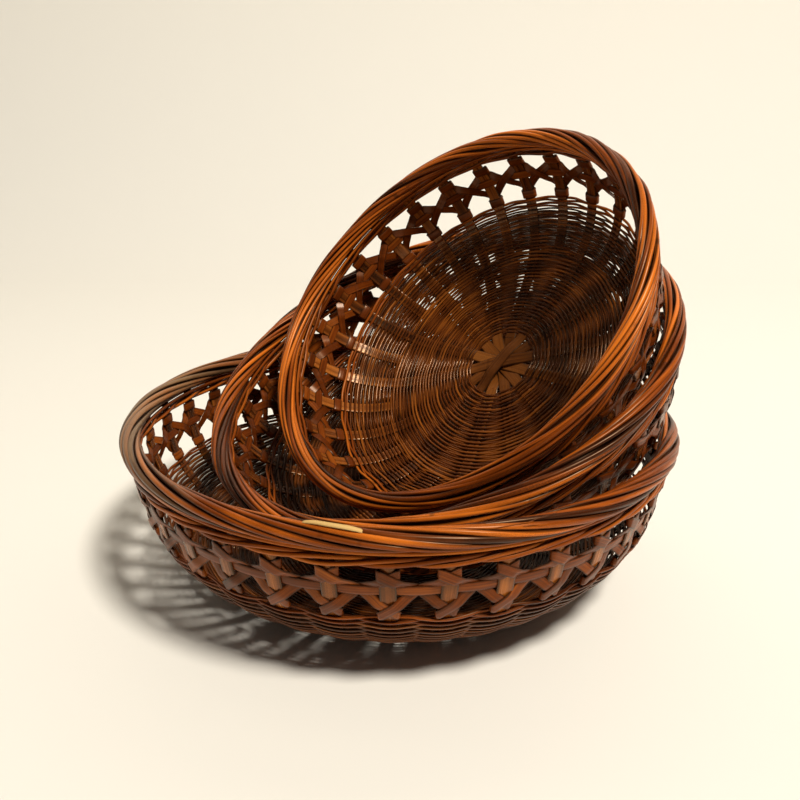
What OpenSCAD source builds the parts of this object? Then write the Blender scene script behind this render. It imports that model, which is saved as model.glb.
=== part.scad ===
// Nest of three round wicker baskets: a large one standing upright, a medium
// one tilted inside it and a small one tilted inside the medium one.
// Each basket: crossed base splints, woven base, flat wall stakes, woven wall,
// an openwork band of one level hoop and two zigzag strips, wale rods and a
// twisted rope rim. Origin: centre of the large basket's underside, +Z up.

/* [Large basket] */
// Rim centreline radius, mm
large_rim_r = 143.5; // [143:0.5:145]
// Rim centreline height above the underside, mm
large_height = 82.3; // [81.3:0.5:83.3]
// Number of wall stakes
large_stakes = 36; // [32:4:36]

/* [Medium basket] */
// Rim centreline radius, mm
medium_rim_r = 128.6; // [127.6:0.5:128.6]
// Rim centreline height above its underside, mm
medium_height = 69.6; // [68.6:0.5:69.6]
// Number of wall stakes
medium_stakes = 32; // [28:4:32]

/* [Small basket] */
// Rim centreline radius, mm
small_rim_r = 112.6; // [111.6:0.5:112.6]
// Rim centreline height above its underside, mm
small_height = 65.2; // [64.2:0.5:65.2]
// Number of wall stakes
small_stakes = 28; // [24:4:28]

/* [Woven parts] */
// Width of a flat stake or base splint, mm
stake_width = 7.4; // [6.4:0.2:8]
// Width of an openwork strip, mm
strip_width = 4.6; // [4:0.2:5]
// Diameter of a wale rod, mm
wale_d = 2.4; // [2:0.1:2.4]
// Spacing of the weaver rows, mm
row_pitch = 2.3; // [2.1:0.1:2.6]

/* [Hidden] */

$fn = 96;
z0 = 2.2;            // mid-surface height of the base over the underside
stake_t = 1.2;       // stake thickness
strip_t = 0.9;       // openwork strip thickness
ridge_hi = 2.1;      // weave half thickness on a row
ridge_lo = 1.2;      // weave half thickness between rows
star_r = 20;         // bare star of crossed splints at the centre
wale_drop = 13;      // rim centreline to the top of the openwork
band_h = 26;         // height of the openwork
rope_r = 5.6;        // outer radius of the twisted rim
core_r = 3.0;        // rim core
strand_r = 2.55;     // one strand of the rim
strand_off = 3.0;    // strand centre to rim centreline

// [rim radius, rim height, stakes, stake turn, strand turns]
L = [large_rim_r, large_height, large_stakes, 8.25, 5];
M = [medium_rim_r, medium_height, medium_stakes, 8.92, 5];
S = [small_rim_r, small_height, small_stakes, 3.07, 4];

// rest poses: rim centre, tilt from upright, direction of the tilt
medium_at = [18.62, 8.9, 113.12];  medium_tilt = [25.65, 221.43];
small_at = [23.58, 4.05, 141.39];  small_tilt = [49.2, 220.13];

// ---- meridian of the wall's mid-surface -------------------------------------
function foot_r(b) = 0.488 * b[0];
function top_z(b) = z0 + 0.909 * (b[1] - z0);
function arc_pt(b, u) = [
  foot_r(b) + 0.505 * b[0] * pow(sin(u), 0.909),
  top_z(b) - (top_z(b) - z0) * pow(cos(u), 0.909)];
function meridian(b) = concat(
  [[0, z0]], [for (i = [0:18]) arc_pt(b, min(5 * i, 89.99))], [[0.993 * b[0], b[1]]]);
function runs(p, i) = i == 0 ? [0] :
  let (r = runs(p, i - 1)) concat(r, [r[i - 1] + norm(p[i] - p[i - 1])]);
// tables: arc length -> r, arc length -> z, z -> arc length
function tables(b) = let (p = meridian(b), n = len(p) - 1, s = runs(p, n)) [
  [for (i = [0:n]) [s[i], p[i][0]]],
  [for (i = [0:n]) [s[i], p[i][1]]],
  [for (i = [1:n]) [p[i][1], s[i]]]];
function at_s(t, s) = [lookup(s, t[0]), lookup(s, t[1])];
function out_n(t, s) = let (d = at_s(t, s + 0.6) - at_s(t, s - 0.6)) [d[1], -d[0]] / norm(d);
function off_s(t, s, d) = at_s(t, s) + d * out_n(t, s);
function s_of_z(t, z) = lookup(z, t[2]);
function band_top(b) = b[1] - wale_drop;
function band_low(b) = b[1] - wale_drop - band_h;

// ---- placing -----------------------------------------------------------------
module pose(b, c, tl) {
  translate(c) rotate([0, 0, tl[1]]) rotate([0, tl[0], 0]) rotate([0, 0, -tl[1]])
    translate([0, 0, -b[1]]) children();
}
module in_medium() pose(M, medium_at, medium_tilt) children();
module in_small() pose(S, small_at, small_tilt) children();

// ---- pieces of one basket ------------------------------------------------------
// a ring of ridged rows between two arc lengths; flat_low keeps the underside level
module woven(b, s1, s2, flat_low) {
  t = tables(b);
  n = max(2, round((s2 - s1) / row_pitch));
  p = (s2 - s1) / n;
  inner = [for (i = [0:n - 1]) for (k = [[0, ridge_lo], [0.25, ridge_hi], [0.75, ridge_hi]])
    off_s(t, s1 + (i + k[0]) * p, -k[1])];
  outer = flat_low ? [at_s(t, s2) + [0, -z0], at_s(t, s1) + [0, -z0]] :
    [for (i = [n - 1:-1:0]) for (k = [[1, ridge_lo], [0.75, ridge_hi], [0.25, ridge_hi]])
      off_s(t, s1 + (i + k[0]) * p, k[1])];
  rotate_extrude() polygon(concat(inner, [off_s(t, s2 - 0.001, -ridge_lo)], outer));
}
module base(b) woven(b, star_r, foot_r(b), true);
module wall(b) woven(b, foot_r(b), s_of_z(tables(b), band_low(b)) - 2.4 * row_pitch, false);
// two spaced rows at the foot of the openwork
module upper_rows(b) {
  t = tables(b);
  for (k = [0.2, 1.5]) {
    p = at_s(t, s_of_z(t, band_low(b)) - k * row_pitch);
    rotate_extrude() translate(p) circle(d = 1.9, $fn = 24);
  }
}
// crossed splints under the middle of the base
module splints(b) {
  n = b[2] / 4;
  for (i = [0:n - 1]) rotate([0, 0, b[3] + i * 180 / n])
    translate([-star_r - 8, -stake_width / 2, z0 - stake_t / 2]) cube([2 * star_r + 16, stake_width, stake_t]);
}
// one flat stake following the meridian from the base into the rim
module stake(b, s_from) {
  t = tables(b);
  s_end = s_of_z(t, b[1] - 1);
  n = 22;
  st = [for (i = [0:n]) s_from + (s_end - s_from) * i / n];
  h = stake_t / 2;
  rotate([90, 0, 0]) translate([0, 0, -stake_width / 2]) linear_extrude(height = stake_width)
    polygon(concat([for (s = st) off_s(t, s, -h)], [for (i = [n:-1:0]) off_s(t, st[i], h)]));
}
module stakes_set(b) {
  for (i = [0:b[2] - 1]) rotate([0, 0, b[3] + i * 360 / b[2]])
    stake(b, i % 2 == 0 ? star_r + 6 : star_r + 28);
}
// level strip through the middle of the openwork, behind the stakes
module hoop(b) {
  t = tables(b);
  s = s_of_z(t, (band_top(b) + band_low(b)) / 2);
  w = strip_width / 2;
  d1 = -stake_t / 2;
  d2 = d1 - strip_t;
  rotate_extrude() polygon([off_s(t, s - w, d1), off_s(t, s + w, d1), off_s(t, s + w, d2), off_s(t, s - w, d2)]);
}
// a flat bar between two points with its flat side facing away from the axis
module bar(p, q, w, th) {
  x = (q - p) / norm(q - p);
  m = (p + q) / 2;
  o = [m[0], m[1], 0] / norm([m[0], m[1]]);
  y1 = cross(o, x);
  y = y1 / norm(y1);
  z = cross(x, y);
  multmatrix([[x[0], y[0], z[0], m[0]], [x[1], y[1], z[1], m[1]], [x[2], y[2], z[2], m[2]], [0, 0, 0, 1]])
    cube([norm(q - p) + w * 0.5, w, th], center = true);
}
// one zigzag strip: up on odd stakes when phase is 0, on even ones when 1,
// with a fold round the stake at each turn
module strip(b, phase, side) {
  t = tables(b);
  n = b[2];
  d = side * (stake_t / 2 + strip_t / 2 + (side < 0 ? strip_t : 0));
  lo = s_of_z(t, band_low(b)) + 3.2;
  hi = s_of_z(t, band_top(b)) - 3.2;
  pt = [for (i = [0:n - 1]) let (p = off_s(t, (i + phase) % 2 == 0 ? lo : hi, d), a = b[3] + i * 360 / n)
    [p[0] * cos(a), p[0] * sin(a), p[1]]];
  for (i = [0:n - 1]) {
    bar(pt[i], pt[(i + 1) % n], strip_width, strip_t);
    a = b[3] + i * 360 / n;
    q = at_s(t, (i + phase) % 2 == 0 ? lo : hi);
    rotate([0, 0, a]) translate([q[0], 0, q[1]])
      cube([2 * strip_t + stake_t, stake_width + 1.6, strip_width], center = true);
  }
}
module wale(b) {
  t = tables(b);
  for (k = [0:2]) {
    p = off_s(t, s_of_z(t, band_top(b) + wale_d * (k + 0.5)), stake_t / 2 + wale_d / 2 - 0.05);
    rotate_extrude() translate(p) circle(d = wale_d - 0.1, $fn = 24);
  }
}
module wale_inner(b) {
  t = tables(b);
  p = off_s(t, s_of_z(t, band_top(b) + wale_d * 0.5), -stake_t / 2 - wale_d / 2 + 0.05);
  rotate_extrude() translate(p) circle(d = wale_d - 0.1, $fn = 24);
}
module rim_core(b) rotate_extrude() translate([b[0], b[1]]) circle(r = core_r, $fn = 32);
// one of three strands laid round the core
module rim_strand(b, k) {
  turns = b[4];
  n = 72;
  m = 7;
  pts = [for (j = [0:n - 1]) for (i = [0:m - 1])
    let (a = 360 * j / n, c = 120 * k - turns * a, f = 360 * i / m + c,
         r = b[0] + strand_off * cos(c) + strand_r * cos(f),
         z = b[1] + strand_off * sin(c) + strand_r * sin(f))
    [r * cos(a), r * sin(a), z]];
  // after a whole number of turns the section closes on itself
  tri = [for (j = [0:n - 1]) for (i = [0:m - 1])
    let (j2 = (j + 1) % n, i2 = (i + 1) % m, p = j * m + i, q = j * m + i2, r = j2 * m + i, s = j2 * m + i2)
    each [[p, r, q], [q, r, s]]];
  polyhedron(points = pts, faces = tri);
}

// ---- sub-parts -----------------------------------------------------------------
module large_splints() color([0.45, 0.22, 0.08]) splints(L);
module large_base() color([0.42, 0.2, 0.08]) base(L);
module large_wall() color([0.44, 0.21, 0.08]) wall(L);
module large_upper_rows() color([0.5, 0.25, 0.1]) upper_rows(L);
module large_stakes_set() color([0.4, 0.18, 0.07]) stakes_set(L);
module large_hoop() color([0.5, 0.24, 0.09]) hoop(L);
module large_strip_a() color([0.55, 0.27, 0.1]) strip(L, 0, 1);
module large_strip_b() color([0.52, 0.26, 0.1]) strip(L, 1, -1);
module large_wale() color([0.5, 0.24, 0.09]) wale(L);
module large_wale_inner() color([0.5, 0.24, 0.09]) wale_inner(L);
module large_rim_core() color([0.35, 0.16, 0.06]) rim_core(L);
module large_rim_strand_1() color([0.56, 0.27, 0.1]) rim_strand(L, 0);
module large_rim_strand_2() color([0.52, 0.25, 0.09]) rim_strand(L, 1);
module large_rim_strand_3() color([0.54, 0.26, 0.1]) rim_strand(L, 2);
module medium_splints() color([0.45, 0.22, 0.08]) in_medium() splints(M);
module medium_base() color([0.42, 0.2, 0.08]) in_medium() base(M);
module medium_wall() color([0.44, 0.21, 0.08]) in_medium() wall(M);
module medium_upper_rows() color([0.5, 0.25, 0.1]) in_medium() upper_rows(M);
module medium_stakes_set() color([0.4, 0.18, 0.07]) in_medium() stakes_set(M);
module medium_hoop() color([0.5, 0.24, 0.09]) in_medium() hoop(M);
module medium_strip_a() color([0.55, 0.27, 0.1]) in_medium() strip(M, 0, 1);
module medium_strip_b() color([0.52, 0.26, 0.1]) in_medium() strip(M, 1, -1);
module medium_wale() color([0.5, 0.24, 0.09]) in_medium() wale(M);
module medium_wale_inner() color([0.5, 0.24, 0.09]) in_medium() wale_inner(M);
module medium_rim_core() color([0.35, 0.16, 0.06]) in_medium() rim_core(M);
module medium_rim_strand_1() color([0.56, 0.27, 0.1]) in_medium() rim_strand(M, 0);
module medium_rim_strand_2() color([0.52, 0.25, 0.09]) in_medium() rim_strand(M, 1);
module medium_rim_strand_3() color([0.54, 0.26, 0.1]) in_medium() rim_strand(M, 2);
module small_splints() color([0.45, 0.22, 0.08]) in_small() splints(S);
module small_base() color([0.42, 0.2, 0.08]) in_small() base(S);
module small_wall() color([0.44, 0.21, 0.08]) in_small() wall(S);
module small_upper_rows() color([0.5, 0.25, 0.1]) in_small() upper_rows(S);
module small_stakes_set() color([0.4, 0.18, 0.07]) in_small() stakes_set(S);
module small_hoop() color([0.5, 0.24, 0.09]) in_small() hoop(S);
module small_strip_a() color([0.55, 0.27, 0.1]) in_small() strip(S, 0, 1);
module small_strip_b() color([0.52, 0.26, 0.1]) in_small() strip(S, 1, -1);
module small_wale() color([0.5, 0.24, 0.09]) in_small() wale(S);
module small_wale_inner() color([0.5, 0.24, 0.09]) in_small() wale_inner(S);
module small_rim_core() color([0.35, 0.16, 0.06]) in_small() rim_core(S);
module small_rim_strand_1() color([0.56, 0.27, 0.1]) in_small() rim_strand(S, 0);
module small_rim_strand_2() color([0.52, 0.25, 0.09]) in_small() rim_strand(S, 1);
module small_rim_strand_3() color([0.54, 0.26, 0.1]) in_small() rim_strand(S, 2);

large_splints();
large_base();
large_wall();
large_upper_rows();
large_stakes_set();
large_hoop();
large_strip_a();
large_strip_b();
large_wale();
large_wale_inner();
large_rim_core();
large_rim_strand_1();
large_rim_strand_2();
large_rim_strand_3();
medium_splints();
medium_base();
medium_wall();
medium_upper_rows();
medium_stakes_set();
medium_hoop();
medium_strip_a();
medium_strip_b();
medium_wale();
medium_wale_inner();
medium_rim_core();
medium_rim_strand_1();
medium_rim_strand_2();
medium_rim_strand_3();
small_splints();
small_base();
small_wall();
small_upper_rows();
small_stakes_set();
small_hoop();
small_strip_a();
small_strip_b();
small_wale();
small_wale_inner();
small_rim_core();
small_rim_strand_1();
small_rim_strand_2();
small_rim_strand_3();
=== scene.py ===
import math
import bpy
import numpy as np
from mathutils import Matrix, Vector


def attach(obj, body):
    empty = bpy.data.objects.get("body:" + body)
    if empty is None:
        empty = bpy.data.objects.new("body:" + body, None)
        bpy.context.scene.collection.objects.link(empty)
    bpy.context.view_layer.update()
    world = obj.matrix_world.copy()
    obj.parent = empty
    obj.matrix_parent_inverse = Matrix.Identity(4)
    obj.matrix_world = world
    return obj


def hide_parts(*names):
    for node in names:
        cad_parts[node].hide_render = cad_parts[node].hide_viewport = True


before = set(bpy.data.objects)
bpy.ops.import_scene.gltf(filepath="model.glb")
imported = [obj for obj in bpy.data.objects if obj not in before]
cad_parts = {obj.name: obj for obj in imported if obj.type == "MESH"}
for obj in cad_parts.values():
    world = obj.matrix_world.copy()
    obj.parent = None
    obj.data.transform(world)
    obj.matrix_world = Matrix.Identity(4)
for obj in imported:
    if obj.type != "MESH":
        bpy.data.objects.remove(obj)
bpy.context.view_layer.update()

rng = np.random.default_rng(11)
TAU = 2 * math.pi

# ---------------------------------------------------------------- baskets (mm)
BASKETS = {
    "large": dict(R=143.5, H=82.3, N=36, spin=8.25, turns=5, at=(0, 0, 82.3), tilt=(0.0, 0.0)),
    "medium": dict(R=128.6, H=69.6, N=32, spin=8.92, turns=5, at=(18.62, 8.9, 113.12), tilt=(25.65, 221.43)),
    "small": dict(R=112.6, H=65.2, N=28, spin=3.07, turns=4, at=(23.58, 4.05, 141.39), tilt=(49.2, 220.13)),
}
Z0 = 2.2
STAR_R = 20.0
WALE_DROP, BAND_H = 13.0, 26.0
PITCH = 2.3


def rz(a):
    c, s = math.cos(a), math.sin(a)
    return np.array([[c, -s, 0], [s, c, 0], [0, 0, 1.0]])


def ry(a):
    c, s = math.cos(a), math.sin(a)
    return np.array([[c, 0, s], [0, 1, 0], [-s, 0, c]])


class Basket:
    def __init__(self, name, R, H, N, spin, turns, at, tilt):
        self.name, self.R, self.H, self.N = name, R, H, N
        self.spin, self.turns = math.radians(spin), turns
        t, p = map(math.radians, tilt)
        self.Q = rz(p) @ ry(t) @ rz(-p)
        self.at = np.array(at, float)
        u = np.radians(np.linspace(0, 90, 181))
        zt = Z0 + 0.909 * (H - Z0)
        r = 0.488 * R + 0.505 * R * np.sin(u) ** 0.909
        z = zt - (zt - Z0) * np.cos(u) ** 0.909
        r = np.concatenate([[0], r, [0.993 * R, 0.993 * R]])
        z = np.concatenate([[Z0], z, [H, H + 30]])
        s = np.concatenate([[0], np.cumsum(np.hypot(np.diff(r), np.diff(z)))])
        self.sr, self.ss, self.sz = r, s, z
        self.s_low = self.s_of_z(H - WALE_DROP - BAND_H)
        self.s_top = self.s_of_z(H - WALE_DROP)
        self.s_mid = self.s_top - 12.5
        self.s_weave = self.s_mid - 16.2
        self.s_dense = self.s_weave - 33.0
        self.s_rim = self.s_of_z(H - 1)
        self.s_foot = 0.488 * R

    def s_of_z(self, z):
        return float(np.interp(z, self.sz[1:], self.ss[1:]))

    def rzs(self, s):
        return np.interp(s, self.ss, self.sr), np.interp(s, self.ss, self.sz)

    def frame(self, s, phi):
        """point on the mid-surface and its along-wall, round and outward directions"""
        s, phi = np.broadcast_arrays(np.asarray(s, float), np.asarray(phi, float))
        r, z = self.rzs(s)
        r1, z1 = self.rzs(s + 1.2)
        r0, z0 = self.rzs(np.maximum(s - 1.2, 0))
        dr, dz = r1 - r0, z1 - z0
        L = np.hypot(dr, dz)
        dr, dz = dr / L, dz / L
        c, sn = np.cos(phi), np.sin(phi)
        P = np.stack([r * c, r * sn, z], -1)
        S = np.stack([dr * c, dr * sn, dz], -1)
        F = np.stack([-sn, c, np.zeros_like(c)], -1)
        D = np.stack([dz * c, dz * sn, -dr], -1)
        return P, S, F, D

    def world(self, P):
        return ((P - [0, 0, self.H]) @ self.Q.T + self.at) / 1000.0


# ---------------------------------------------------------------- mesh making
class Strands:
    """many swept strands gathered in one mesh"""

    def __init__(self, basket, name):
        self.b, self.name = basket, name
        self.v, self.f, self.fib, self.side = [], [], [], []
        self.n = 0

    def sweep(self, P, A, B, prof, wa=1.0, tb=1.0, closed=True, ident=None, along0=0.0):
        """prof: closed outline (m,2) in mm, first along A and second along B"""
        n, m = len(P), len(prof)
        wa = np.broadcast_to(np.asarray(wa, float), (n,))[:, None, None]
        tb = np.broadcast_to(np.asarray(tb, float), (n,))[:, None, None]
        V = P[:, None] + prof[None, :, :1] * wa * A[:, None] + prof[None, :, 1:] * tb * B[:, None]
        step = np.linalg.norm(np.diff(P, axis=0), axis=1)
        al = np.concatenate([[0], np.cumsum(step)]) + along0
        ident = rng.random() if ident is None else ident
        ac = np.cumsum(np.r_[0, np.linalg.norm(np.diff(prof, axis=0), axis=1)])
        fib = np.stack([np.repeat(al[:, None], m, 1), np.repeat(ac[None], n, 0), np.full((n, m), ident * 97.0)], -1)
        i = np.arange(n if closed else n - 1)
        j = np.arange(m)
        I, J = np.meshgrid(i, j, indexing="ij")
        I2, J2 = (I + 1) % n, (J + 1) % m
        q = np.stack([I * m + J, I * m + J2, I2 * m + J2, I2 * m + J], -1).reshape(-1, 4) + self.n
        self.f.append(q)
        self.v.append(V.reshape(-1, 3))
        self.fib.append(fib.reshape(-1, 3))
        self.side.append(np.tile(prof[:, 0] / np.abs(prof[:, 0]).max(), n))
        self.n += n * m
        if not closed:
            # rounded ends: a centre point on each end
            for k, flip in ((0, True), (n - 1, False)):
                c = P[k] + (P[k] - P[1 if k == 0 else n - 2]) / max(1e-6, np.linalg.norm(P[k] - P[1 if k == 0 else n - 2])) * 0.25
                self.v.append(c[None])
                self.fib.append(np.array([[al[k], 0, ident * 97.0]]))
                self.side.append(np.zeros(1))
                ci = self.n
                self.n += 1
                ring = self.ring_index(q, k, m, n)
                t = np.stack([ring, np.roll(ring, -1), np.full(m, ci), np.full(m, -1)], -1)
                if flip:
                    t = t[:, [1, 0, 2, 3]]
                self.f.append(t)

    def ring_index(self, q, k, m, n):
        base = q.min()
        return base + k * m + np.arange(m)

    def build(self, material, body, nodes, smooth=True, angle=None):
        V = self.b.world(np.concatenate(self.v))
        F = np.concatenate(self.f)
        fib = np.concatenate(self.fib)
        tri = F[:, 3] < 0
        loops, starts, totals, at = [], [], [], 0
        quads, tris = F[~tri], F[tri][:, :3]
        loops = np.concatenate([quads.ravel(), tris.ravel()]).astype(np.int32)
        totals = np.concatenate([np.full(len(quads), 4), np.full(len(tris), 3)]).astype(np.int32)
        starts = np.concatenate([[0], np.cumsum(totals)[:-1]]).astype(np.int32)
        me = bpy.data.meshes.new(self.name)
        me.vertices.add(len(V))
        me.vertices.foreach_set("co", V.ravel().astype(np.float32))
        me.loops.add(len(loops))
        me.loops.foreach_set("vertex_index", loops)
        me.polygons.add(len(totals))
        me.polygons.foreach_set("loop_start", starts)
        me.polygons.foreach_set("loop_total", totals)
        me.polygons.foreach_set("use_smooth", np.full(len(totals), smooth))
        me.update(calc_edges=True)
        me.validate()
        at_ = me.attributes.new("fib", "FLOAT_VECTOR", "POINT")
        at_.data.foreach_set("vector", (fib / 1000.0).ravel().astype(np.float32))
        sd_ = me.attributes.new("side", "FLOAT", "POINT")
        sd_.data.foreach_set("value", np.concatenate(self.side).astype(np.float32))
        # make sure faces look outward
        vol = signed_volume(me)
        if vol < 0:
            me.flip_normals()
        if angle:
            me.set_sharp_from_angle(angle=math.radians(angle))
        o = bpy.data.objects.new(self.name, me)
        bpy.context.scene.collection.objects.link(o)
        me.materials.append(material)
        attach(o, body)
        if nodes:
            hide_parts(*nodes)
        return o


def signed_volume(me):
    n = len(me.vertices)
    co = np.empty(n * 3, np.float32)
    me.vertices.foreach_get("co", co)
    co = co.reshape(-1, 3).astype(float)
    me.calc_loop_triangles()
    t = np.empty(len(me.loop_triangles) * 3, np.int32)
    me.loop_triangles.foreach_get("vertices", t)
    a, b, c = co[t.reshape(-1, 3)].transpose(1, 0, 2)
    return float((a * np.cross(b, c)).sum())


def oval(w, t, n=6, turn=0.0):
    a = np.arange(n) * TAU / n + turn
    return np.stack([w / 2 * np.cos(a), t / 2 * np.sin(a)], -1)


def strip_outline(w, t, crown=0.0):
    """flat strip with eased edges and an optional crown on its outer side"""
    e = min(0.45, w * 0.12)
    return np.array([
        [-w / 2, 0], [-w / 2 + e * 0.5, -t / 2], [w / 2 - e * 0.5, -t / 2], [w / 2, 0],
        [w / 2 - e, t / 2 + crown * 0.35], [w / 6, t / 2 + crown], [-w / 6, t / 2 + crown], [-w / 2 + e, t / 2 + crown * 0.35]])


def ribbed(w, t, ribs, depth):
    """flat stake outline with fine lengthwise ribs on both faces, width w and thickness t"""
    x = np.linspace(-0.46, 0.46, 2 * ribs + 1)
    bump = np.where(np.arange(2 * ribs + 1) % 2 == 1, depth, -depth * 0.4)
    crown = 0.08 * (1 - (x / 0.46) ** 2)
    top = np.stack([x[::-1] * w, t / 2 + (bump + crown)[::-1]], -1)
    low = np.stack([x * w, -t / 2 - bump - crown], -1)
    return np.concatenate([[[-0.5 * w, 0]], low, [[0.5 * w, 0]], top])


def unit(v):
    return v / np.maximum(np.linalg.norm(v, axis=-1, keepdims=True), 1e-9)


def slow_noise(phi, k, amp, seed):
    g = np.random.default_rng(seed)
    out = np.zeros_like(phi)
    for i in range(1, k + 1):
        out += g.normal() * np.cos(i * phi + g.random() * TAU) / math.sqrt(k)
    return amp * out


# ---------------------------------------------------------------- materials
def lacquer(name, dark, mid, light, rough=(0.28, 0.5), grain=(14, 900), bump=0.25, coat=0.04,
            ident_amount=0.35, patch=0.35, painted_side_tint=None, fine_bump=0.0004, ribs=0.0,
            edge_shade=(0.68, 0.88), spec=0.26):
    m = bpy.data.materials.new(name)
    m.use_nodes = True
    nt = m.node_tree
    nt.nodes.clear()
    N, Lk = nt.nodes.new, nt.links.new

    def math_(op, a, b=None, clamp=False):
        n = N("ShaderNodeMath")
        n.operation, n.use_clamp = op, clamp
        for i, v in enumerate((a, b)):
            if v is None:
                continue
            if isinstance(v, (int, float)):
                n.inputs[i].default_value = v
            else:
                Lk(v, n.inputs[i])
        return n.outputs[0]

    out = N("ShaderNodeOutputMaterial")
    bs = N("ShaderNodeBsdfPrincipled")
    Lk(bs.outputs[0], out.inputs[0])
    at = N("ShaderNodeAttribute")
    at.attribute_name = "fib"
    sp = N("ShaderNodeSeparateXYZ")
    Lk(at.outputs["Vector"], sp.inputs[0])
    along, across, ident = sp.outputs

    def noise(vec, scale, detail=3.0, rough_=0.55, dist=0.0):
        n = N("ShaderNodeTexNoise")
        n.inputs["Scale"].default_value = scale
        n.inputs["Detail"].default_value = detail
        n.inputs["Roughness"].default_value = rough_
        n.inputs["Distortion"].default_value = dist
        Lk(vec, n.inputs["Vector"])
        return n.outputs["Fac"]

    def vec(x, y, z):
        c = N("ShaderNodeCombineXYZ")
        for i, v in enumerate((x, y, z)):
            if isinstance(v, (int, float)):
                c.inputs[i].default_value = v
            else:
                Lk(v, c.inputs[i])
        return c.outputs[0]

    # fine fibres along the strand
    fibres = noise(vec(math_("MULTIPLY", along, grain[0]), math_("MULTIPLY", across, grain[1]),
                       math_("MULTIPLY", ident, 310.0)), 1.0, 4.0, 0.62)
    # broad change of stain along each strand
    broad = noise(vec(math_("MULTIPLY", along, 16.0), math_("MULTIPLY", ident, 170.0), 0.0), 1.0, 2.0, 0.5)
    wn = N("ShaderNodeTexWhiteNoise")
    wn.noise_dimensions = "1D"
    Lk(math_("MULTIPLY", ident, 1000.0), wn.inputs["W"])
    tc = N("ShaderNodeTexCoord")
    stain = noise(tc.outputs["Object"], 22.0, 4.0, 0.6, 0.6)
    f = math_("MULTIPLY", math_("SUBTRACT", fibres, 0.5), 0.9)
    f = math_("ADD", f, math_("MULTIPLY", math_("SUBTRACT", broad, 0.5), 0.9))
    f = math_("ADD", f, math_("MULTIPLY", math_("SUBTRACT", wn.outputs["Value"], 0.5), ident_amount))
    f = math_("ADD", f, math_("MULTIPLY", math_("SUBTRACT", stain, 0.5), patch))
    # painted shade and light on the ribs: the colour darkens in the rib grooves and lightens on their crests, in step
    # with the rib bump
    if ribs:
        rib_shade = math_("SINE", math_("MULTIPLY", across, TAU * ribs * 1000.0))
        f = math_("ADD", f, math_("MULTIPLY", rib_shade, 0.16))
    f = math_("ADD", f, 0.5, clamp=True)
    ramp = N("ShaderNodeValToRGB")
    el = ramp.color_ramp.elements
    el[0].position, el[0].color = 0.12, (*dark, 1)
    el[1].position, el[1].color = 0.92, (*light, 1)
    e = el.new(0.52)
    e.color = (*mid, 1)
    Lk(f, ramp.inputs[0])
    color = ramp.outputs[0]
    # dark joints and little scars across the strand, as at a cane's knots
    knot = noise(vec(math_("MULTIPLY", along, 95.0), math_("MULTIPLY", ident, 530.0), 0.0), 1.0, 1.0, 0.5)
    kr = N("ShaderNodeValToRGB")
    kr.color_ramp.elements[0].position, kr.color_ramp.elements[0].color = 0.70, (0, 0, 0, 1)
    kr.color_ramp.elements[1].position, kr.color_ramp.elements[1].color = 0.76, (1, 1, 1, 1)
    Lk(knot, kr.inputs[0])
    mx = N("ShaderNodeMix")
    mx.data_type = "RGBA"
    mx.inputs["B"].default_value = (*[c * 0.35 for c in dark], 1)
    Lk(math_("MULTIPLY", kr.outputs[0], 0.55), mx.inputs["Factor"])
    Lk(color, mx.inputs["A"])
    color = mx.outputs["Result"]
    # worn, paler flecks where the stain has rubbed off
    fleck = noise(vec(math_("MULTIPLY", along, 60.0), math_("MULTIPLY", across, 420.0), math_("MULTIPLY", ident, 90.0)), 1.0, 5.0, 0.7)
    fr = N("ShaderNodeValToRGB")
    fr.color_ramp.elements[0].position, fr.color_ramp.elements[0].color = 0.66, (0, 0, 0, 1)
    fr.color_ramp.elements[1].position, fr.color_ramp.elements[1].color = 0.78, (1, 1, 1, 1)
    Lk(fleck, fr.inputs[0])
    mf = N("ShaderNodeMix")
    mf.data_type = "RGBA"
    mf.inputs["B"].default_value = (min(1, light[0] * 1.5), min(1, light[1] * 1.6), min(1, light[2] * 2.2), 1)
    Lk(math_("MULTIPLY", fr.outputs[0], 0.35), mf.inputs["Factor"])
    Lk(color, mf.inputs["A"])
    color = mf.outputs["Result"]
    if painted_side_tint:
        # painted side light: the side facing the given direction is tinted a duller tan-grey, standing in for how that
        # side is lit: (direction vector, low, high, colour)
        direction, lo, hi, gcol, amount = painted_side_tint
        dp = N("ShaderNodeVectorMath")
        dp.operation = "DOT_PRODUCT"
        dp.inputs[1].default_value = direction
        Lk(tc.outputs["Object"], dp.inputs[0])
        mr = N("ShaderNodeMapRange")
        mr.inputs["From Min"].default_value = lo
        mr.inputs["From Max"].default_value = hi
        Lk(math_("ADD", dp.outputs["Value"], math_("MULTIPLY", math_("SUBTRACT", stain, 0.5), 0.12)), mr.inputs["Value"])
        gm = N("ShaderNodeMix")
        gm.data_type = "RGBA"
        gm.inputs["B"].default_value = (*gcol, 1)
        Lk(math_("MULTIPLY", mr.outputs["Result"], math_("ADD", math_("MULTIPLY", fibres, 0.7), amount - 0.35), clamp=True), gm.inputs["Factor"])
        Lk(color, gm.inputs["A"])
        color = gm.outputs["Result"]
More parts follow.
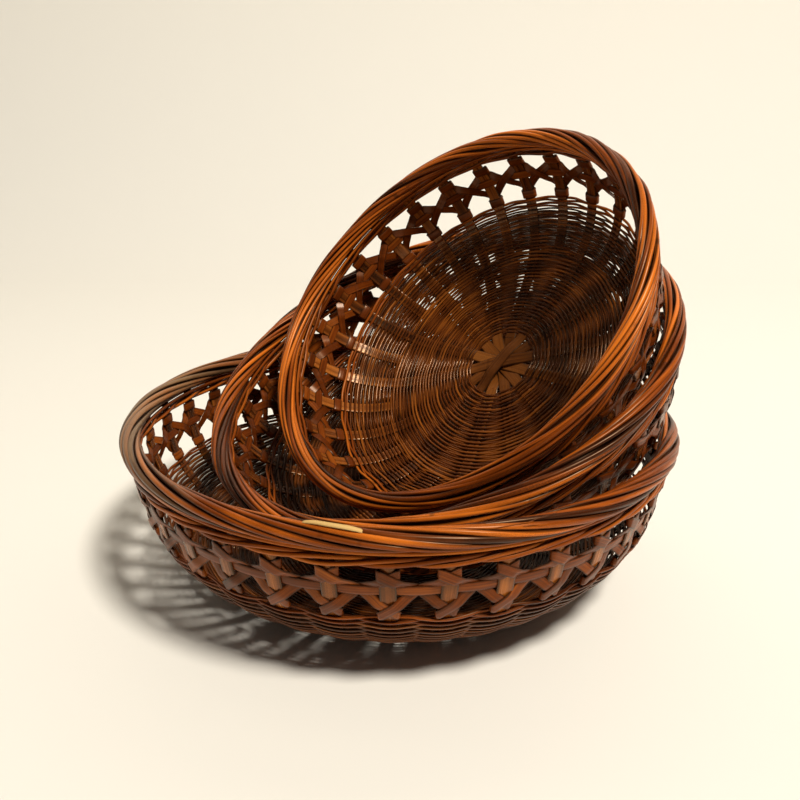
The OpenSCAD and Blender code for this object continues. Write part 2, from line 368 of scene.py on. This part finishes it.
    # painted shade: each strand darkens along its side edges, for the dark gaps where neighbouring strands meet
    sa = N("ShaderNodeAttribute")
    sa.attribute_name = "side"
    er = N("ShaderNodeMapRange")
    er.interpolation_type = "SMOOTHSTEP"
    er.inputs["From Min"].default_value, er.inputs["From Max"].default_value = edge_shade[0], 1.0
    Lk(math_("ADD", math_("ABSOLUTE", sa.outputs["Fac"]), math_("MULTIPLY", math_("SUBTRACT", fibres, 0.5), 0.15)), er.inputs["Value"])
    em = N("ShaderNodeMix")
    em.data_type = "RGBA"
    em.inputs["B"].default_value = (*[c * 0.5 for c in dark], 1)
    Lk(math_("MULTIPLY", er.outputs["Result"], edge_shade[1]), em.inputs["Factor"])
    Lk(color, em.inputs["A"])
    color = em.outputs["Result"]
    Lk(color, bs.inputs["Base Color"])
    r = N("ShaderNodeMapRange")
    r.inputs["To Min"].default_value, r.inputs["To Max"].default_value = rough
    Lk(math_("ADD", math_("MULTIPLY", fibres, 0.6), math_("MULTIPLY", stain, 0.4)), r.inputs["Value"])
    Lk(r.outputs["Result"], bs.inputs["Roughness"])
    h = fibres
    if ribs:
        wv = N("ShaderNodeMath")
        wv.operation = "SINE"
        Lk(math_("MULTIPLY", across, TAU * ribs * 1000.0), wv.inputs[0])
        h = math_("ADD", h, math_("MULTIPLY", wv.outputs[0], 0.5))
    h = math_("SUBTRACT", h, math_("MULTIPLY", kr.outputs[0], 0.8))
    bp = N("ShaderNodeBump")
    bp.inputs["Strength"].default_value = bump
    bp.inputs["Distance"].default_value = fine_bump
    Lk(h, bp.inputs["Height"])
    Lk(bp.outputs[0], bs.inputs["Normal"])
    bs.inputs["Coat Weight"].default_value = coat
    bs.inputs["Coat Roughness"].default_value = 0.22
    bs.inputs["Specular IOR Level"].default_value = spec
    bs.inputs["Specular Tint"].default_value = (1.0, 0.62, 0.34, 1)
    bs.inputs["Coat Tint"].default_value = (1.0, 0.80, 0.58, 1)
    return m


DARK = (0.03, 0.006, 0.0015)
TAN = (0.25, 0.145, 0.065)
MATS = {
    # the large rim takes the painted side light: its -x side, facing away from the key, is tinted tan-grey
    "rim_large": lacquer("rim_rods_large", DARK, (0.25, 0.048, 0.0035), (0.70, 0.17, 0.014), rough=(0.24, 0.42), spec=0.34, edge_shade=(0.58, 0.93), ident_amount=0.85,
                         painted_side_tint=((-1, 0, 0), 0.075, 0.135, TAN, 0.75)),
    "rim": lacquer("rim_rods", DARK, (0.25, 0.047, 0.0035), (0.70, 0.17, 0.014), rough=(0.22, 0.40), spec=0.34, edge_shade=(0.58, 0.93), ident_amount=0.85),
    # near-black core rods: painted shade for the dark gaps between the rim rods
    "core": lacquer("rim_core_rods", (0.012, 0.003, 0.001), (0.035, 0.009, 0.002), (0.08, 0.02, 0.004), rough=(0.4, 0.6)),
    "weaver": lacquer("weavers", (0.014, 0.003, 0.0008), (0.12, 0.028, 0.0035), (0.36, 0.105, 0.0125), rough=(0.18, 0.36), spec=0.5,
                      grain=(20, 1300), ident_amount=0.5, coat=0.16),
    # a darker copy of the weavers, painted shade for the shaded insides of the medium and large baskets
    "weaver_shaded": lacquer("weavers_shaded", (0.012, 0.0025, 0.0008), (0.075, 0.017, 0.0025), (0.26, 0.075, 0.009), rough=(0.22, 0.42),
                           grain=(20, 1300), ident_amount=0.4, coat=0.14),
    # the stakes' ribs also paint shade into the rib grooves and light onto their crests
    "stake": lacquer("stakes", (0.02, 0.005, 0.0012), (0.17, 0.043, 0.006), (0.46, 0.14, 0.02), rough=(0.18, 0.36), spec=0.6,
                     grain=(10, 1900), ident_amount=0.4, ribs=0.68, coat=0.14),
    "splint": lacquer("splints", (0.06, 0.015, 0.003), (0.22, 0.066, 0.011), (0.42, 0.15, 0.028), rough=(0.28, 0.46),
                      grain=(10, 1500), ident_amount=0.45),
    "strip": lacquer("openwork_strips", (0.022, 0.005, 0.001), (0.15, 0.029, 0.003), (0.37, 0.095, 0.009), rough=(0.2, 0.42),
                     grain=(14, 1300), ident_amount=0.3, coat=0.14),
    "rod": lacquer("wale_rods", DARK, (0.24, 0.047, 0.0035), (0.6, 0.155, 0.014), rough=(0.25, 0.44), ident_amount=0.5),
}


# ---------------------------------------------------------------- pieces
def add_rows(st, b, s_list, spokes, parity=0, w=1.62, t=1.34, flat=1.6, lift=0.12, wave=0.0, jit=0.1, seed=0):
    """one closed weaver for each arc length, passing in and out of every other spoke"""
    for j, s in enumerate(s_list):
        samples = int(spokes * 10)
        phi = np.arange(samples) * TAU / samples + math.pi / 2
        c = np.cos(spokes / 2 * (phi - b.spin)) * (1 if (j + parity) % 2 else -1)
        d = (lift + t / 2) * np.sign(c) * np.abs(c) ** flat
        g = seed * 1000 + j
        sj = s + slow_noise(phi, 7, jit, g) - wave * np.cos(spokes * (phi - b.spin))
        d = d + slow_noise(phi, 9, 0.05, g + 500)
        P, S, F, D = b.frame(sj, phi)
        P = P + D * d[:, None]
        k = 1 + 0.07 * np.random.default_rng(g).normal()
        st.sweep(P, S, D, oval(w * k, t, 6), closed=True)


def base_weave(b, body):
    st = Strands(b, f"{b.name}_base_weave")
    n = int(round((b.s_foot - STAR_R) / 1.15))
    s = STAR_R + 0.5 + (np.arange(n) + 0.5) * (b.s_foot - STAR_R) / n
    add_rows(st, b, s, b.N // 2, seed=1)
    b.rows_done = n
    # the medium and large baskets take the darker weaver copy, painted shade for their shaded insides
    return st.build(MATS["weaver" if b.name == "small" else "weaver_shaded"], body, [f"{b.name}_base"])


def loose_rows(b):
    """arc lengths of the open rows at the top of the wall, close together at their upper edge"""
    steps = [0.7, 2.3, 4.0, 5.7, 7.2, 8.6, 10.0, 11.3, 12.6, 13.9, 15.2, 16.4, 17.6, 18.8, 20.0, 21.2, 22.4, 23.5, 24.7,
             25.8, 26.9, 28.0, 29.1, 30.2, 31.3, 32.3]
    if b.name != "small":
        # stouter rods, fewer of them
        steps = [0.7, 2.3, 4.3, 6.5, 8.7, 10.9, 13.1, 15.2, 17.3, 19.4, 21.4, 23.4, 25.3, 27.2, 29.0, 30.7, 32.2]
    return [b.s_weave - k for k in steps]


def wall_weave(b, body):
    st = Strands(b, f"{b.name}_wall_weave")
    n = int(round((b.s_dense - b.s_foot) / 1.15))
    s = b.s_foot + (np.arange(n) + 0.5) * (b.s_dense - b.s_foot) / n
    add_rows(st, b, s, b.N // 2, parity=b.rows_done % 2, seed=40)
    rows = loose_rows(b)[3:]
    w, wave = (1.36, 0.12) if b.name == "small" else (1.95, 0.24)
    add_rows(st, b, rows, b.N, parity=1, w=w, t=1.2, flat=0.85, lift=0.46, wave=wave, jit=0.14, seed=41)
    # the medium and large baskets take the darker weaver copy, painted shade for their shaded insides
    return st.build(MATS["weaver" if b.name == "small" else "weaver_shaded"], body, [f"{b.name}_wall"])


def upper_rows(b, body):
    st = Strands(b, f"{b.name}_upper_weavers")
    add_rows(st, b, loose_rows(b)[:3], b.N, w=1.6, t=1.4, flat=0.8, lift=0.5, wave=0.3, jit=0.16, seed=90)
    return st.build(MATS["rod"], body, [f"{b.name}_upper_rows"])


def splints(b, body):
    st = Strands(b, f"{b.name}_base_splints")
    n = b.N // 4
    order = list(range(2, n - 1)) + [0, n - 1, 1]
    for level, i in enumerate(order):
        g = np.random.default_rng(60 + i)
        a = b.spin + i * math.pi / n + g.normal() * 0.02
        x = np.linspace(-27, 27, 37)
        k = np.clip((np.abs(x) - 6) / 13, 0, 1)
        k = 1 - k * k * (3 - 2 * k)
        z = Z0 + (level - (n - 1) / 2) * (4.2 / (n - 1)) * k + 0.1
        dirx = np.array([math.cos(a), math.sin(a), 0])
        side = np.array([-math.sin(a), math.cos(a), 0])
        P = x[:, None] * dirx + np.stack([0 * z, 0 * z, z], -1)
        T = unit(np.gradient(P, axis=0))
        A = np.repeat(side[None], len(x), 0)
        B = np.cross(T, A)
        st.sweep(P, A, B, ribbed(8.0, 0.62, 4, 0.04), wa=1 - 0.12 * np.clip(np.abs(x) / 27, 0, 1), closed=False, ident=g.random())
    return st.build(MATS["splint"], body, [f"{b.name}_splints"], angle=40)


def stakes(b, body):
    st = Strands(b, f"{b.name}_stakes")
    for i in range(b.N):
        a = b.spin + i * TAU / b.N
        s0 = 17.0 if i % 2 == 0 else b.s_dense - 5
        lo = np.linspace(s0, b.s_weave, 34)
        mid = np.linspace(b.s_weave, b.s_top, 9)[1:]
        end = np.linspace(b.s_top, b.s_rim, 7)[1:]
        s = np.concatenate([lo, mid, end])
        jit = np.random.default_rng(700 + i)
        lean = (jit.normal() * 0.4) / b.R
        phi = a + lean * np.clip((s - b.s_weave) / 30, 0, 1)
        P, S, F, D = b.frame(s, phi)
        T = unit(np.gradient(P, axis=0))
        B = unit(np.cross(F, T))
        B = np.where((B * D).sum(-1, keepdims=True) < 0, -B, B)
        r = np.interp(s, b.ss, b.sr)
        w = np.minimum(7.4 + 0.25 * jit.normal(), 0.84 * TAU * r / (b.N // 2))
        thick = np.where(s < b.s_dense, 0.75, 1.0)
        st.sweep(P, F, B, ribbed(1.0, 0.85, 5, 0.07), wa=w, tb=thick, closed=False)
    return st.build(MATS["stake"], body, [f"{b.name}_stakes_set"], angle=45)


def hoop(b, body):
    st = Strands(b, f"{b.name}_openwork_hoop")
    n = b.N * 8
    phi = np.arange(n) * TAU / n + math.pi / 2
    c = np.cos(b.N * (phi - b.spin))
    s = b.s_mid + slow_noise(phi, 6, 0.15, 5)
    P, S, F, D = b.frame(s, phi)
    P = P + D * (-0.66 - 0.2 * c)[:, None]
    st.sweep(P, S, D, strip_outline(5.0, 0.62, 0.05), closed=True)
    return st.build(MATS["strip"], body, [f"{b.name}_hoop"], angle=45)


def strip_turn(g, V):
    """one full wrap round a stake at u = 0: (round, along, outward, normal). The strip comes
    from behind the hoop at (-g, 0), passes over the stake, folds round its back and leaves
    over itself to (g, 0)"""
    E, front, over, back = 4.3, 0.84, 1.46, -0.84
    k = []

    def go(u, d, tilt=0.0):
        k.append((u, V * (u + g) / (g + E), d, (0.0, -tilt, 1.0)))

    def leave(u, d, tilt=0.0):
        k.append((u, V * (g - u) / (g + E), d, (0.0, -tilt, 1.0)))

    go(-g * 0.78, -1.15, 0.1)
    go(-7.4, -0.75, 0.3)
    go(-5.4, 0.1, 0.35)
    go(-3.9, 0.72, 0.15)
    go(-2.0, front)
    go(0.4, front)
    go(2.6, front)
    rf = (front - back) / 2
    for a in (75, 40, 0, -40, -75):
        k.append((3.75 + rf * math.cos(math.radians(a)), V * (0.985 + 0.02 * (75 - a) / 150), rf * math.sin(math.radians(a)),
                  (math.cos(math.radians(a)), 0.0, math.sin(math.radians(a)))))
    k.append((1.8, V * 1.01, back - 0.28, (0.0, 0.0, -1.0)))
    k.append((-1.8, V * 1.01, back - 0.28, (0.0, 0.0, -1.0)))
    lf, mid = (over - back) / 2, (over + back) / 2
    for a in (-75, -40, 0, 40, 75):
        k.append((-3.75 - lf * math.cos(math.radians(a)), V * (1.005 - 0.03 * (a + 75) / 150), mid + lf * math.sin(math.radians(a)),
                  (-math.cos(math.radians(a)), 0.0, math.sin(math.radians(a)))))
    leave(-2.4, over)
    leave(0.0, over)
    leave(2.4, over - 0.05)
    leave(3.9, over - 0.5, 0.15)
    leave(5.4, 0.2, 0.35)
    leave(7.4, -0.75, 0.3)
    leave(g * 0.78, -1.15, 0.1)
    return k


def catmull(P, sub):
    """closed smooth line through the points, sub points to each"""
    out = []
    a, b_, c, d = np.roll(P, 1, 0), P, np.roll(P, -1, 0), np.roll(P, -2, 0)
    for k in range(sub):
        t = k / sub
        out.append(0.5 * (2 * b_ + (c - a) * t + (2 * a - 5 * b_ + 4 * c - d) * t ** 2 + (3 * b_ - a - 3 * c + d) * t ** 3))
    return np.stack(out, 1).reshape(-1, P.shape[1])


def strip(b, phase, body, name, node, sub=2):
    st = Strands(b, name)
    keys = []
    gap = math.pi * b.R / b.N
    for i in range(b.N):
        up = 1 if (i + phase) % 2 else -1
        g = np.random.default_rng(3000 + 50 * phase + i)
        V = (9.4 if up > 0 else 13.5) + g.normal() * 0.3
        for (u, v, d, nn) in strip_turn(gap, V):
            keys.append([i * 2 * gap + u, up * v, d, nn[0], up * nn[1], nn[2]])
        # crossing behind the hoop, one strip further in than the other
        keys.append([i * 2 * gap + gap, 0.0, -1.38 - 0.62 * phase, 0, 0, 1.0])
    K = np.array(keys)
    circ = TAU * b.R
    lin = np.arange(len(K)) / len(K) * circ
    K[:, 0] -= lin
    Q = catmull(K, sub)
    u = Q[:, 0] + np.arange(len(Q)) / len(Q) * circ
    phi = b.spin + u / b.R
    s = b.s_mid + Q[:, 1]
    P, S, F, D = b.frame(s, phi)
    P = P + D * Q[:, 2:3]
    T = unit(np.roll(P, -1, 0) - np.roll(P, 1, 0))
    n = unit(Q[:, 3:4] * F + Q[:, 4:5] * S + Q[:, 5:6] * D)
    W = unit(np.cross(T, n))
    n = np.cross(W, T)
    st.sweep(P, W, n, strip_outline(5.1, 0.56, 0.05), closed=True)
    return st.build(MATS["strip"], body, [node], angle=45)


def wale(b, body):
    """three rods, each outside two stakes and inside the third; where the stake count is not
    a multiple of three they are one rod that goes round three times"""
    st = Strands(b, f"{b.name}_wale_rods")
    rounds = [(TAU, k / 3) for k in range(3)] if b.N % 3 == 0 else [(3 * TAU, 0.0)]
    for sd, (span, shift) in enumerate(rounds):
        n = int(b.N * 8 * span / TAU)
        th = np.arange(n) * span / n + math.pi / 2
        p = (th - b.spin) * b.N / (3 * TAU) + 1 / 6 + shift
        inside = np.cos(math.pi * (p - 5 / 6)) ** 2
        d = 1.5 - 2.95 * inside ** 3
        s = b.s_top + 2.6 - 1.5 * np.sin(TAU * (p - 5 / 6))
        s = s + slow_noise(th, 9, 0.22, 300 + sd)
        d = d + slow_noise(th, 9, 0.12, 330 + sd)
        P, S, F, D = b.frame(s, th)
        P = P + D * d[:, None]
        st.sweep(P, S, D, oval(2.3, 2.0, 8), closed=True)
    n = b.N * 6
    phi = np.arange(n) * TAU / n + math.pi / 2
    for (ds, d0, sd) in ((6.6, -1.6, 11), (6.9, 1.5, 12)):
        s = b.s_top + ds + slow_noise(phi, 7, 0.3, 360 + sd)
        P, S, F, D = b.frame(s, phi)
        P = P + D * (d0 + slow_noise(phi, 6, 0.15, 380 + sd))[:, None]
        st.sweep(P, S, D, oval(2.1, 1.8, 8), closed=True)
    return st.build(MATS["rod"], body, [f"{b.name}_wale", f"{b.name}_wale_inner"])


def rim(b, body):
    n = 300
    phi = np.arange(n) * TAU / n + math.pi / 2
    c, sn = np.cos(phi), np.sin(phi)
    rad = np.stack([c, sn, 0 * c], -1)
    up = np.repeat(np.array([[0, 0, 1.0]]), n, 0)
    C = rad * b.R + up * b.H
    # the core under the rim rods is coloured near black, painted shade that shows in the gaps between the rods
    core = Strands(b, f"{b.name}_rim_core_rods")
    for k in range(3):
        a = k * TAU / 3 - 3 * phi
        P = C + 1.3 * (np.cos(a)[:, None] * rad + np.sin(a)[:, None] * up)
        core.sweep(P, rad, up, oval(3.6, 3.6, 8))
    core.build(MATS["core"], body, [f"{b.name}_rim_core"])
    st = Strands(b, f"{b.name}_rim_rods")
    rods, turns, swell, peak = {"large": (9, 4, 0.12, 300), "medium": (10, 4, 0.12, 200), "small": (11, 3, 0.3, 15)}[b.name]
    peak = math.radians(peak)
    g = np.random.default_rng(int(b.R))
    lay = turns * phi + turns * swell * np.sin(phi - peak)
    for k in range(rods):
        a = -lay + k * TAU / rods + slow_noise(phi, 9, 0.13, 800 + k)
        off = 4.2 + slow_noise(phi, 14, 0.28, 820 + k) + 0.12 * g.normal()
        e = np.cos(a)[:, None] * rad + np.sin(a)[:, None] * up
        t = -np.sin(a)[:, None] * rad + np.cos(a)[:, None] * up
        P = C + off[:, None] * e
        w = 26.2 / rods * (1 + 0.14 * g.normal()) * (1 + slow_noise(phi, 8, 0.07, 840 + k))
        # a little roll, so that the flats of the canes catch the light differently
        roll = slow_noise(phi, 5, 0.16, 860 + k)
        tt = np.cos(roll)[:, None] * t + np.sin(roll)[:, None] * e
        ee = -np.sin(roll)[:, None] * t + np.cos(roll)[:, None] * e
        st.sweep(P, tt, ee, oval(1.0, 2.3, 8), wa=np.clip(w, 1.9, 3.5))
    mat = MATS["rim_large"] if b.name == "large" else MATS["rim"]
    st.build(mat, body, [f"{b.name}_rim_strand_{i}" for i in (1, 2, 3)])


for name, spec in BASKETS.items():
    b = Basket(name, **spec)
    body = f"{name}_basket"
    base_weave(b, body)
    wall_weave(b, body)
    upper_rows(b, body)
    splints(b, body)
    stakes(b, body)
    hoop(b, body)
    strip(b, 0, body, f"{name}_openwork_strip_a", f"{name}_strip_a")
    strip(b, 1, body, f"{name}_openwork_strip_b", f"{name}_strip_b")
    wale(b, body)
    rim(b, body)


# ---------------------------------------------------------------- small marks of the making
def rope_point(b, phi, psi, r):
    rad = np.stack([np.cos(phi), np.sin(phi), 0 * phi], -1)
    up = np.repeat(np.array([[0, 0, 1.0]]), len(phi), 0)
    e = np.cos(psi)[:, None] * rad + np.sin(psi)[:, None] * up
    P = rad * b.R + up * b.H + e * np.asarray(r)[..., None]
    return P, e


def tangent_frame(P, e):
    T = unit(np.gradient(P, axis=0))
    return unit(np.cross(T, e))


big = Basket("large", **BASKETS["large"])
PALE = lacquer("bare_cane", (0.28, 0.15, 0.06), (0.62, 0.38, 0.13), (0.78, 0.53, 0.22), rough=(0.5, 0.7), grain=(14, 1500),
               coat=0.0, edge_shade=(0.85, 0.4))
# one short length of unstained cane shows in the rim, over the other rods
splice = Strands(big, "large_rim_bare_end")
t = np.linspace(0, 1, 22)
phi = np.radians(254.6 + 9.8 * t)
psi = np.radians(92 - 26 * t)
P, e = rope_point(big, phi, psi, 5.75 - 1.1 * (2 * t - 1) ** 4)
splice.sweep(P, tangent_frame(P, e), e, oval(1.0, 1.3, 8), wa=2.5 - 1.3 * np.clip(np.abs(2 * t - 1) - 0.6, 0, 1), closed=False)
# and a cut end below it, inside the wale
phi = np.radians(256.6 + 1.0 * np.linspace(0, 1, 5))
P, S_, F_, D_ = big.frame(np.full(5, 187.9), phi)
P = P + D_ * np.array([0.6, 1.0, 1.2, 1.0, 0.6])[:, None]
splice.sweep(P, S_, D_, oval(1.7, 1.3, 8), closed=False)
splice.build(PALE, "large_basket", [])

# thin ends of cane standing out of the rim
hair = Strands(big, "large_rim_loose_fibres")
g = np.random.default_rng(77)
for k in range(9):
    t = np.linspace(0, 1, 16)
    a0 = math.radians(176 + 16 * g.random()) if k < 5 else math.radians(289.5 + 2.4 * g.random())
    s0 = math.radians(-30 + 60 * g.random()) if k < 5 else math.radians(40 + 30 * g.random())
    reach = 0.8 + 1.6 * g.random()
    swing = (0.05 + 0.07 * g.random()) * (1 if g.random() > 0.4 else -1)
    phi = a0 + swing * t + 0.006 * np.sin(7 * t + k)
    psi = s0 + 0.5 * (g.random() - 0.5) * t
    P, e = rope_point(big, phi, psi, 5.2 + reach * np.sin(math.pi * 0.5 * t) * 0.6)
    hair.sweep(P, tangent_frame(P, e), e, oval(0.34, 0.28, 6), wa=1 - 0.5 * t, tb=1 - 0.5 * t, closed=False)
# a small loop of the last cane under the rim at the right
t = np.linspace(0, 1, 30)
phi = math.radians(352) + (4.2 / big.R) * np.sin(TAU * t * 0.94)
P, S_, F_, D_ = big.frame(big.s_rim - 6.0 - 3.6 * (1 - np.cos(TAU * t * 0.94)), phi)
P = P + D_ * (1.8 + 0.8 * np.sin(math.pi * t))[:, None]
hair.sweep(P, tangent_frame(P, D_), D_, oval(0.75, 0.6, 6), closed=False)
hair.build(MATS["rod"], "large_basket", [])


# ---------------------------------------------------------------- stage
def stage_material():
    m = bpy.data.materials.new("studio_sweep")
    m.use_nodes = True
    bs = m.node_tree.nodes["Principled BSDF"]
    bs.inputs["Base Color"].default_value = (0.86, 0.825, 0.755, 1)
    bs.inputs["Roughness"].default_value = 0.85
    bs.inputs["Specular IOR Level"].default_value = 0.2
    return m


def sweep_floor():
    """pale floor that curves up behind the object"""
    prof = [(-9.0, 0.0)]
    y0, rad = 0.75, 0.6
    prof += [(y0 - 0.0, 0.0)]
    prof += [(y0 + rad * math.sin(a), rad - rad * math.cos(a)) for a in np.linspace(0.05, math.pi / 2, 14)]
    prof += [(y0 + rad, 3.5)]
    V, F = [], []
    for y, z in prof:
        V += [(-9, y, z - 0.0003), (9, y, z - 0.0003)]
    for i in range(len(prof) - 1):
        F.append((2 * i, 2 * i + 1, 2 * i + 3, 2 * i + 2))
    me = bpy.data.meshes.new("floor")
    me.from_pydata(V, [], F)
    me.shade_smooth()
    o = bpy.data.objects.new("floor", me)
    bpy.context.scene.collection.objects.link(o)
    me.materials.append(stage_material())


sweep_floor()

scene = bpy.context.scene
world = bpy.data.worlds.new("studio") if not scene.world else scene.world
scene.world = world
world.use_nodes = True
bg = world.node_tree.nodes.get("Background") or world.node_tree.nodes.new("ShaderNodeBackground")
bg.inputs[0].default_value = (1.0, 0.96, 0.9, 1)
bg.inputs[1].default_value = 0.06


def area(name, loc, target, size, power, color):
    li = bpy.data.lights.new(name, "AREA")
    li.shape, li.size, li.energy, li.color = "DISK", size, power, color
    o = bpy.data.objects.new(name, li)
    o.location = loc
    d = Vector(target) - Vector(loc)
    o.rotation_euler = d.to_track_quat("-Z", "Y").to_euler()
    scene.collection.objects.link(o)
    return o


area("key", (1.24, -1.44, 3.30), (0.0, 0.0, 0.06), 0.8, 162.0, (1.0, 0.955, 0.87))
area("back_fill", (-0.5, 1.3, 1.5), (0.0, 0.4, 0.2), 1.0, 1.5, (1.0, 0.97, 0.93))
scene.view_settings.view_transform = "Standard"

# camera at the photographed angle
f_px, elev, dist, tx, tz, roll = 802.56, 0.341320, 446.186, 0.2232, 89.155, 0.0015
cam = bpy.data.cameras.new("camera")
co = bpy.data.objects.new("camera", cam)
scene.collection.objects.link(co)
fwd = Vector((0, math.cos(elev), -math.sin(elev)))
right = Vector((1, 0, 0))
up = right.cross(fwd)
r2 = math.cos(roll) * right + math.sin(roll) * up
u2 = -math.sin(roll) * right + math.cos(roll) * up
co.matrix_world = Matrix((
    (r2.x, u2.x, -fwd.x, tx / 1000),
    (r2.y, u2.y, -fwd.y, -dist * math.cos(elev) / 1000),
    (r2.z, u2.z, -fwd.z, (tz + dist * math.sin(elev)) / 1000),
    (0, 0, 0, 1)))
cam.sensor_width = 36.0
cam.lens = 36.0 * f_px / 800.0
cam.clip_start, cam.clip_end = 0.01, 50
scene.camera = co
